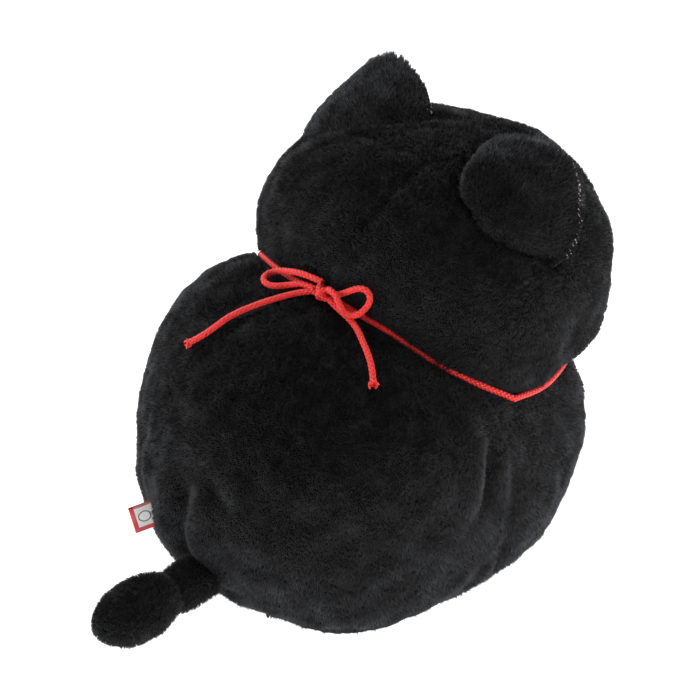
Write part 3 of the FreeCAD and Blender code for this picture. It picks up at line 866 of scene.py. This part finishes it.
def skin_piece(piece, body, node, density, length, seed, keep=None, parts=1,
               nap=(0.0, 0.25, -1.0)):
    """A padded skin that stands for a CAD node, with its pile in one part or more."""
    dress(piece, GROUND, body, "black_plush", node)
    for number in range(parts):
        name = piece.name.replace("_skin", "_pile")
        if parts > 1:
            name += "_%d" % (number + 1)
        pile = grow_pile(name, piece, density / parts, length, seed + number, keep=keep, nap=nap)
        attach(pile, body)


# each panel's pile, in tufts on a square millimetre, and the number of parts it is made in
BODY_PANELS = {"back_left_gore": (2.6, 1), "back_right_gore": (2.6, 1), "left_side_panel": (2.6, 2),
               "right_side_panel": (2.6, 2), "front_panel": (2.0, 2), "base_panel": (0.3, 1)}
HEAD_PANELS = {"head_back_left_panel": (2.6, 1), "head_back_right_panel": (2.6, 1),
               "face_panel": (2.2, 2)}


def body_panel_of(points):
    x, y, z = points.T
    beyond = np.abs(x) > GORE_X + GORE_SLOPE * (y - BACK_Y)
    label = np.where(x > 0, np.where(beyond, 2, 0), np.where(beyond, 3, 1))
    label = np.where(y < BACK_Y, 4, label)
    return np.where(z < BASE_Z, 5, label)


def make_body():
    planes = [((0, 0, 0), (1, 0, 0)), ((0, BACK_Y, 0), (0, 1, 0)), ((0, 0, BASE_Z), (0, 0, 1)),
              ((GORE_X, BACK_Y, 0), tuple(GORE_WAY)),
              ((-GORE_X, BACK_Y, 0), (-GORE_WAY[0], GORE_WAY[1], 0))]
    mesh = form_skin(BODY, body_relief, 78, planes, HEAD, True)
    for number, piece in enumerate(split_panels(mesh, body_panel_of, BODY_PANELS)):
        name = piece.name.removesuffix("_skin")
        density, parts = BODY_PANELS[name]
        above = (lambda points: points[:, 2] > 0.2) if name != "base_panel" else None
        skin_piece(piece, "sewn_body", name, density, 2.5 if above else 1.2, 10 * number,
                   above, parts)


FACE_MARKS = []         # places on the face that the pile leaves free: (x, z, half-width, half-height)


def head_panel_of(points):
    x, y, _ = points.T
    return np.where(y < FACE_Y, 2, np.where(x > head_seam(points), 0, 1))


def clear_of_marks(points):
    free = np.ones(len(points), bool)
    front = points[:, 1] < -80
    for x, z, wide, tall in FACE_MARKS:
        inside = ((points[:, 0] - x) / wide) ** 2 + ((points[:, 2] - z) / tall) ** 2 < 1
        free &= ~(front & inside)
    return free


def make_head():
    EAR_ROOTS.extend(ear_root(side) for _, side in SIDES)
    planes = [((0, 0, 0), (1, 0, 0)), ((0, FACE_Y, 0), (0, 1, 0))]
    mesh = form_skin(HEAD, head_relief, 64, planes, BODY, False, head_seam)
    for number, piece in enumerate(split_panels(mesh, head_panel_of, HEAD_PANELS)):
        name = piece.name.removesuffix("_skin")
        density, parts = HEAD_PANELS[name]
        skin_piece(piece, "sewn_body", name, density, 2.6, 200 + 10 * number,
                   clear_of_marks, parts, (0.0, 0.7, -0.6))


# ---------------------------------------------------------------- ears

EAR_ALONG = unit(np.array([60.0, 14.0, -27.0]))
EAR_RISE = unit(np.array([13.1, -24.8, 16.2]))
EAR_BASE = np.array([54.0, -55.0, 176.5])
RIGHT_EAR_RISE = unit(np.array([-4.0, -24.8, 17.6]))
EAR_TALL = {1: 38.5, -1: 28.5}
EAR_LEAN = {1: -1.0, -1: 4.0}
EAR_SHIFT = {1: -5.5, -1: 1.5}
EAR_HALF = {1: 38.0, -1: 35.5}
EAR_FULL = {1: 1.45, -1: 1.9}
EAR_THICK = {1: 17.0, -1: 24.0}
EAR_TURN = {1: 0.0, -1: 0.75}    # how sharply the back of each ear turns into the head
EAR_NECK = {}                    # the height of that turn, by the place across the ear


def ear_axes(side):
    """An ear's root, and its directions: along the root, up the ear, out of its lining."""
    along, rise, base = EAR_ALONG, EAR_RISE, EAR_BASE
    if side < 0:
        along, rise, base = along * (1, -1, -1), RIGHT_EAR_RISE, base * (-1, 1, 1)
    rise = unit(rise - along * (rise @ along))
    return base, along, rise, np.cross(along, rise)


def ear_neck(side, across):
    """The height at which the puffed back of an ear would run into the head by itself."""
    if side not in EAR_NECK:
        places = np.linspace(-1, 1, 25)
        heights = np.linspace(20, -30, 101)
        found = []
        for place in places:
            points = ear_surface(side, np.full(101, place), heights, True, False)
            found.append(heights[np.argmax(HEAD.depth(points) > 0)])
        EAR_NECK[side] = places, found
    return np.interp(across, *EAR_NECK[side])


def ear_surface(side, across, height, back, turned=True):
    """A point on the ear: across -1 to 1, height in millimetres, on its back or in its lining."""
    base, along, rise, out = ear_axes(side)
    share = np.clip(height / EAR_TALL[side], -1, 1)
    wide = EAR_HALF[side] * np.maximum(1 - np.maximum(share, 0) ** EAR_FULL[side], 0) ** 0.70
    middle = EAR_LEAN[side] * np.maximum(share, 0) + EAR_SHIFT[side]
    if back:
        puff = 3.5 + (EAR_THICK[side] - 3.5) * np.maximum(1 - np.maximum(share, 0), 0) ** 0.9
        puff = puff * np.minimum(1, wide / 12.0)
        if turned and EAR_TURN[side]:
            turn = smooth_step(ear_neck(side, across) + 7.5 - height, 0.0, 5.5)
            puff = puff * (1 - EAR_TURN[side] * turn)
        bulge = 2.2 if side > 0 else 2.8 - 1.3 * np.maximum(share, 0)
        depth = -puff * (1 - np.abs(across) ** bulge)
    else:
        hollow = 3.0 * np.sin(math.pi * np.clip(share, 0, 1)) * np.minimum(1, wide / 10.0)
        depth = 1.2 - hollow * (1 - across ** 2)
    return (base + along * (middle + wide * across)[..., None] + rise * height[..., None]
            + out * depth[..., None])


def ear_root(side):
    """The line along which the back of an ear goes into the head."""
    heights = np.linspace(16, -30, 93)
    root = []
    for across in np.linspace(-0.96, 0.96, 13):
        points = ear_surface(side, np.full(len(heights), across), heights, True)
        root.append(points[np.argmax(HEAD.depth(points) > 0)])
    return root


def ear_sheet(name, side, back, inset):
    low = -30.0 if back else -9.0
    tall = EAR_TALL[side] - low - 12.5 * inset
    across, height = np.meshgrid(np.linspace(-1, 1, 49) * (1 - inset),
                                 low + tall * np.sin(np.linspace(0, math.pi / 2, 61)),
                                 indexing="ij")
    points = ear_surface(side, across.reshape(-1), height.reshape(-1), back)
    quads = grid_faces(np.arange(across.size).reshape(across.shape))
    return mesh_piece(name, points, np.ascontiguousarray(quads[:, ::-1] if back else quads))


def ear_tip(side):
    """Longer, wilder pile towards the tip of an ear."""
    base, _, rise, _ = ear_axes(side)
    longer = 1.0 if side > 0 else 0.2
    return lambda root: 1 + longer * smooth_step((root - base) @ rise / EAR_TALL[side], 0.72, 1.0)


def make_ears():
    pink = satin("ear_satin", (0.66, 0.30, 0.32), (0.80, 0.44, 0.45))
    pale = thread("pale_thread", (0.50, 0.34, 0.36), (0.80, 0.66, 0.66))
    for name, side in SIDES:
        base, _, rise, _ = ear_axes(side)
        back = ear_sheet(name + "_ear_skin", side, True, 0.0)
        dress(back, GROUND, None, "black_plush", name + "_ear_back")
        pile = grow_pile(name + "_ear_pile", back, 2.9, 2.8, 300 + side, nap=tuple(rise), lean=0.5,
                         keep=lambda points: HEAD.depth(points) < 4.5, tips=ear_tip(side))
        lining = ear_sheet(name + "_ear_satin", side, False, 0.08)
        dress(lining, pink, None, "pink_satin", name + "_ear_lining")
        stitches = whip_stitches(name + "_ear_whip_stitches", side)
        dress(stitches, pale, None, "pale_thread", name + "_ear_stitching")
        for piece in (back, pile, lining, stitches):
            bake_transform(piece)


def stitch_heights(side, edge, gap):
    """Heights that are evenly spaced along the ear's rim, from its root to its tip."""
    heights = EAR_TALL[side] * np.sin(np.linspace(0.05, 1.40, 300))
    rim = ear_surface(side, np.full(300, float(edge)), heights, False)
    along = run_lengths(rim)
    return np.interp(np.arange(0.5, along[-1], gap), along, heights)


def whip_stitches(name, side):
    """Slanting hand stitches that close the ear's edge from lining to back."""
    rng = np.random.default_rng(SEED + 400 + side)
    out = ear_axes(side)[3]
    threads = []

    def place(across, height, back=False):
        return ear_surface(side, np.array([across]), np.array([height]), back)[0]

    for edge in (1.0, -1.0):
        for height in stitch_heights(side, edge, 2.7):
            height = height + rng.uniform(-0.2, 0.2)
            proud = 1.5 * smooth_step(height / EAR_TALL[side], 0.5, 0.62) if side < 0 else 0.0
            start = place(edge * 0.90, height)
            top = place(edge, height + 0.3)
            end = place(edge * (0.95 - 0.04 * proud), height + 0.5, True)
            lift = unit(top - place(0.0, height))
            threads.append(([start, start + out + lift * 0.4,
                             top + lift * (1.0 + 0.2 * proud) + out * 0.5,
                             end + lift * 0.9 - out * proud], 0.24 + 0.06 * proud))
    return thread_mesh(name, threads, 0.5, 6)


# ---------------------------------------------------------------- limbs and tail

def turn_about(points, axis, degrees):
    axis = unit(np.array(axis, float))
    angle = math.radians(degrees)
    return (points * math.cos(angle) + np.cross(axis, points) * math.sin(angle)
            + np.outer(points @ axis, axis) * (1 - math.cos(angle)))


def round_limb(name, centre, half, shape=None, axis=None, degrees=0, floor=False):
    """A stuffed limb from an egg shape that shape() models further, in its own axes."""
    ways, faces = ball_grid(26)
    local = ways * (np.array(half, float) - PILE)
    if shape:
        local = shape(local, np.array(half, float))
    if axis:
        local = turn_about(local, axis, degrees)
    points = local + np.array(centre, float)
    points = points + unit(points - centre) * (0.4 * small_lumps(points))[:, None]
    if floor:
        points = settle(points, soft=2.5)
    return mesh_piece(name, points, faces)


def toe_groove(local, half, across, width):
    """How far each point takes part in a groove between two toes, 0 to 1."""
    return np.exp(-((local[:, 0] / half[0] - across) / width) ** 2)


def paw(local, half):
    """Rounds the upper end into a paw with three stitched toes, and narrows the wrist."""
    height = local[:, 2] / half[2]
    swell = 1 + 0.16 * np.exp(-((height - 0.62) / 0.28) ** 2) - 0.10 * np.exp(
        -((height - 0.05) / 0.3) ** 2)
    local = local * np.stack([swell, swell, np.ones_like(swell)], 1)
    for across in (-0.28, 0.28):
        groove = toe_groove(local, half, across, 0.09)
        groove = groove * smooth_step(height, 0.55, 0.8) * smooth_step(-local[:, 1], -2, 4)
        local = local * (1 - 0.10 * groove)[:, None]
    return local


def resting_paw(local, half):
    """The same paw at the limb's lower end."""
    return paw(local * (1, 1, -1), half) * (1, 1, -1)


def foot_shape(local, half):
    """Three stitched toes on a foot's front end."""
    front = smooth_step(-local[:, 1] / half[1], 0.3, 0.8)
    for across in (-0.27, 0.27):
        groove = toe_groove(local, half, across, 0.08)
        local = local * (1 - 0.09 * groove * front)[:, None]
    return local


def outside(points):
    """Where a limb's skin needs pile: clear of the floor, and not deep inside the body."""
    return (BODY.depth(points) < 7.0) & (points[:, 2] > 0.5)


def make_limbs():
    limbs = [("raised_arm", "raised_arm", 2.5, (74, -105, 100), (14, 14, 46), paw, (1, 1, 0), 20),
             ("resting_arm", "resting_arm", 2.4, (-50, -91, 48), (14, 14, 24), resting_paw)]
    for name, side in SIDES:
        limbs.append((name + "_foot", "sewn_body", 2.4, (30 * side, -104, 11), (21, 22, 16),
                      foot_shape, None, 0, True))
    skins = [round_limb(name + "_skin", *shape) for name, _, _, *shape in limbs]
    for number, (skin, (name, body, length, *_)) in enumerate(zip(skins, limbs)):
        skin_piece(skin, body, name + "_cover", 2.5, length, 500 + number, outside)


def stub_shape(local, half):
    """A short sleeve that narrows where it meets the tail's tip."""
    share = local[:, 1] / half[1]
    stretch = np.sign(share) * np.abs(share) ** 0.8 * half[1]
    ring = unit(local * (1, 0, 1)) * np.minimum(
        np.hypot(local[:, 0], local[:, 2]) * 1.25, half[0] - PILE)[:, None]
    wide = 1 - 0.28 * smooth_step(share, 0.1, 1.0)
    return ring * wide[:, None] + np.stack([0 * share, stretch, 0 * share], 1)


def make_tail():
    stub = round_limb("tail_stub_skin", (0, 112.5, 19.5), (11.5, 17, 11.5), stub_shape)
    tip = round_limb("tail_tip_skin", (0, 142.6, 21.4), (15.4, 24.2, 15.0))
    skin_piece(stub, "tail_stub", "tail_stub_cover", 2.6, 3.0, 520,
               lambda points: BODY.depth(points) < 2, nap=(0, 1, -0.2))
    skin_piece(tip, "tail_tip", "tail_tip_cover", 2.8, 2.6, 525, nap=(0, 1, -0.3))


# ---------------------------------------------------------------- stuffing and pellets

FIBRE_IN = 14.0         # how far the fibre lies inside the round forms


def stuffing_lump(name, form, shrink, node, body, made, floor=False):
    """Polyester fibre in lumps, well inside the skin."""
    ways, faces = ball_grid(34)
    points = form.centre + ways * (form.reach(ways) - shrink)[:, None]
    points = points + ways * (1.4 * small_lumps(points) + 0.9 * length_field(points))[:, None]
    if floor:
        points = settle(points, level=shrink, soft=3)
    dress(mesh_piece(name, points, faces), made, body, "fibre_fill", node)


def limb_fibre(name, body, made):
    """The fibre in a limb: its skin's own shape, shrunk well clear of the cloth."""
    points, normals, triangles = read_mesh(bpy.data.objects[name + "_skin"].data)
    middle = (points.min(0) + points.max(0)) / 2
    points = middle + (points - middle) * 0.72
    points = points + normals * (0.5 * length_field(points))[:, None]
    dress(mesh_piece(name + "_fibre", points, triangles), made, body, "fibre_fill",
          name + "_stuffing")


def make_insides():
    white = fibre("stuffing_fibre", (0.62, 0.62, 0.60), (0.85, 0.85, 0.83))
    stuffing_lump("body_fibre", BODY, FIBRE_IN, "body_stuffing", "sewn_body", white, True)
    stuffing_lump("head_fibre", HEAD, FIBRE_IN, "head_stuffing", "sewn_body", white)
    cover_node("pellet_pouch", fibre("pouch_cloth", (0.55, 0.52, 0.45), (0.70, 0.67, 0.60)))
    cover_node("pellet_fill", fibre("pellets", (0.50, 0.52, 0.55), (0.75, 0.77, 0.80)))
    for name in ("raised_arm", "resting_arm", "left_foot", "right_foot", "tail_stub", "tail_tip"):
        limb_fibre(name, "sewn_body" if "foot" in name else name, white)


def cover_node(name, made):
    node = frame["nodes"][name]
    node.data.materials.clear()
    node.data.materials.append(made)


# ---------------------------------------------------------------- face

EYE_X, EYE_Z, EYE_RADIUS = 35, 143, 8.5
NOSE_Z = 127


def face_y(x, z):
    """Where the face's cloth is, at a place seen from the front."""
    return turning_point(-200.0, -52.0,
                         lambda y: not HEAD.depth(np.array([[x, y, z]]))[0] > PILE)


def face_point(x, z, proud):
    return np.array([x, face_y(x, z) - proud, z])


def patch(name, x, z, outline, rings, proud, crown, ridges=0, ridge=0.0):
    """A raised embroidered patch on the face; outline(turn) is its half-width at each angle."""
    points = [face_point(x, z, proud + crown)]
    turns = np.linspace(0, 2 * math.pi, 96, endpoint=False)
    for ring in range(1, rings + 1):
        share = ring / rings
        for turn in turns:
            far = outline(turn) * share
            lift = crown * (1 - share ** 2.4) + ridge * math.cos(ridges * turn) * share * (ring < rings)
            points.append(face_point(x + far * math.cos(turn), z + far * math.sin(turn),
                                     (proud if ring < rings else -0.5) + lift))
    count = len(turns)
    fan = [(0, 1 + step, 1 + (step + 1) % count) for step in range(count)]
    return mesh_piece(name, points, fan + (np.roll(tube_faces(rings, count)[:, ::-1], 1, 1) + 1).tolist())


def face_threads(name, routes, wide, proud):
    """Rows of stitches laid along lines on the face."""
    threads = [([face_point(x, z, proud) for x, z in route], wide) for route in routes]
    return thread_mesh(name, threads, 0.4, 8, 0.16)


def make_face():
    gold = thread("gold_thread", (0.72, 0.46, 0.06), (0.90, 0.66, 0.14))
    black = thread("pupil_thread", (0.006, 0.006, 0.006), (0.02, 0.02, 0.022))
    pink = thread("nose_thread", (0.62, 0.22, 0.25), (0.80, 0.38, 0.40))
    pale = thread("face_thread", (0.72, 0.70, 0.67), (0.90, 0.88, 0.85))
    for name, side in SIDES:
        place = EYE_X * side, EYE_Z
        eye = patch(name + "_eye_embroidery", *place, lambda t: EYE_RADIUS, 10, 1.6, 1.4, 48, 0.07)
        dress(eye, gold, "sewn_body", "gold_thread", name + "_eye")
        pupil = patch(name + "_pupil_embroidery", *place,
                      lambda t: 1 / math.hypot(math.cos(t) / 3.0, math.sin(t) / 6.4), 6, 2.7, 0.9,
                      24, 0.05)
        dress(pupil, black, "sewn_body", "black_plush")
        FACE_MARKS.append((*place, EYE_RADIUS + 0.5, EYE_RADIUS + 0.5))
        whiskers = []
        for tilt in (math.radians(-13), 0.0, math.radians(13)):
            whiskers.append([(side * (42 + far * math.cos(tilt)), 121 + far * math.sin(tilt))
                             for far in (0, 9, 18, 27)])
        whisker = face_threads(name + "_whisker_threads", whiskers, 0.75, 2.6)
        dress(whisker, pale, "sewn_body", "pale_thread", name + "_whiskers")
    nose = patch("nose_embroidery", 0, NOSE_Z,
                 lambda t: 3.472 / max(math.cos((t + math.pi / 2) % (2 * math.pi / 3)
                                                - math.pi / 3), 0.5), 8, 1.6, 1.8, 30, 0.05)
    dress(nose, pink, "sewn_body", "pink_thread", "nose")
    FACE_MARKS.append((0, NOSE_Z, 6.2, 5.2))
    smile = []
    for _, side in SIDES:
        arc = [math.radians(degrees) for degrees in (180, 210, 240, 270, 300, 330, 355)]
        smile.append([(side * (6.3 + 6.3 * math.cos(turn)), 118 + 6.3 * math.sin(turn))
                      for turn in arc])
    smile.append([(0, 124), (0, 121), (0, 118)])
    mouth = face_threads("mouth_threads", smile, 0.8, 2.4)
    dress(mouth, pink, "sewn_body", "pink_thread", "mouth_stitching")


# ---------------------------------------------------------------- bell and tag

def make_bell():
    metal = brass()
    for name in ("bell_hanger", "bell_upper_shell", "bell_lower_shell", "bell_pea"):
        cover_node(name, metal)


TAG_LONG = 12.2         # the loop's length, of which the last part is sewn in
TAG_SEWN = 2.5
TAG_WIDE = 14.6
TAPE_THICK = 0.28
TAG_ROOT = np.array([40.5, 96.9, 31.0])
TAG_EDGE = 8.4          # the loop is red beyond this distance
TAG_BORDERS = -4.6, 6.8                     # and below and above these heights
RING_FAR, RING_UP = 4.2, 0.9                # the middle of the badge's ring
RING_IN, RING_OUT = 2.7, 3.3
TAG_OUT = unit(np.array([0.456, 0.867, -0.201]))
TAG_UP = unit(np.array([0.0933, 0.1775, 0.9797]))


def make_tag():
    """A folded loop of woven tape with a red edge and a plain round badge; nothing is written on it."""
    across = np.cross(TAG_UP, TAG_OUT)
    share = np.linspace(0, 1, 121)
    bend = (share - 0.5) / 0.18 * math.pi / 2
    folded = np.abs(share - 0.5) < 0.18
    far = np.where(folded, TAG_LONG + 0.75 * np.cos(bend),
                   TAG_LONG * (1 - (np.abs(share - 0.5) - 0.18) / 0.32)) - TAG_SEWN
    off = np.where(folded, 0.75 * np.sin(bend), np.copysign(0.75, share - 0.5))
    up = np.linspace(-TAG_WIDE / 2, TAG_WIDE / 2, 73)
    wave = 0.35 * np.sin(up * 0.55 + 5.0) * np.maximum(far, 0)[:, None] / 12
    points = []
    for layer in (0.0, TAPE_THICK):
        thick = np.where(np.abs(off) > 1e-6, off + np.copysign(layer, off), off)
        reach = far + layer * (far > 9.7)
        points.append(TAG_ROOT + TAG_OUT * reach[:, None, None]
                      + across * (thick[:, None] + wave)[..., None] + TAG_UP * up[:, None])
    points = np.array(points)
    index = np.arange(points[..., 0].size).reshape(points.shape[:3])
    faces = [grid_faces(index[0])[:, ::-1], grid_faces(index[1]), grid_faces(index[:, :, 0].T),
             grid_faces(index[:, :, -1].T)[:, ::-1]]
    faces += [grid_faces(index[:, column].T) for column in (0, -1)]
    tag = mesh_piece("side_tag_tape", points.reshape(-1, 3), np.concatenate(faces))
    white = mottled(material("tag_tape", (0.88, 0.87, 0.85), 0.6), (0.80, 0.78, 0.75),
                    (0.92, 0.91, 0.90), 1200, bump=0.5, bump_scale=2600.0, lift=0.00015,
                    bump_detail=3.0)
    dress(tag, white, "tag", "tag_tape", "side_tag")
    tag.data.materials.append(thread("tag_red", (0.55, 0.02, 0.03), (0.72, 0.05, 0.05)))
    tag.data.materials.append(thread("tag_dark", (0.02, 0.02, 0.02), (0.05, 0.05, 0.05)))
    for polygon in tag.data.polygons:
        centre = np.array(polygon.center) / MM - TAG_ROOT
        far, up = centre @ TAG_OUT, centre @ TAG_UP
        if far > TAG_EDGE or not TAG_BORDERS[0] <= up <= TAG_BORDERS[1]:
            polygon.material_index = 1
        elif RING_IN < math.hypot(far - RING_FAR, up - RING_UP) < RING_OUT:
            polygon.material_index = 2


# ---------------------------------------------------------------- build

make_camera()
make_studio()
make_cords()
make_knot()
make_face()
make_body()
make_head()
make_ears()
make_limbs()
make_tail()
make_insides()
make_bell()
make_tag()
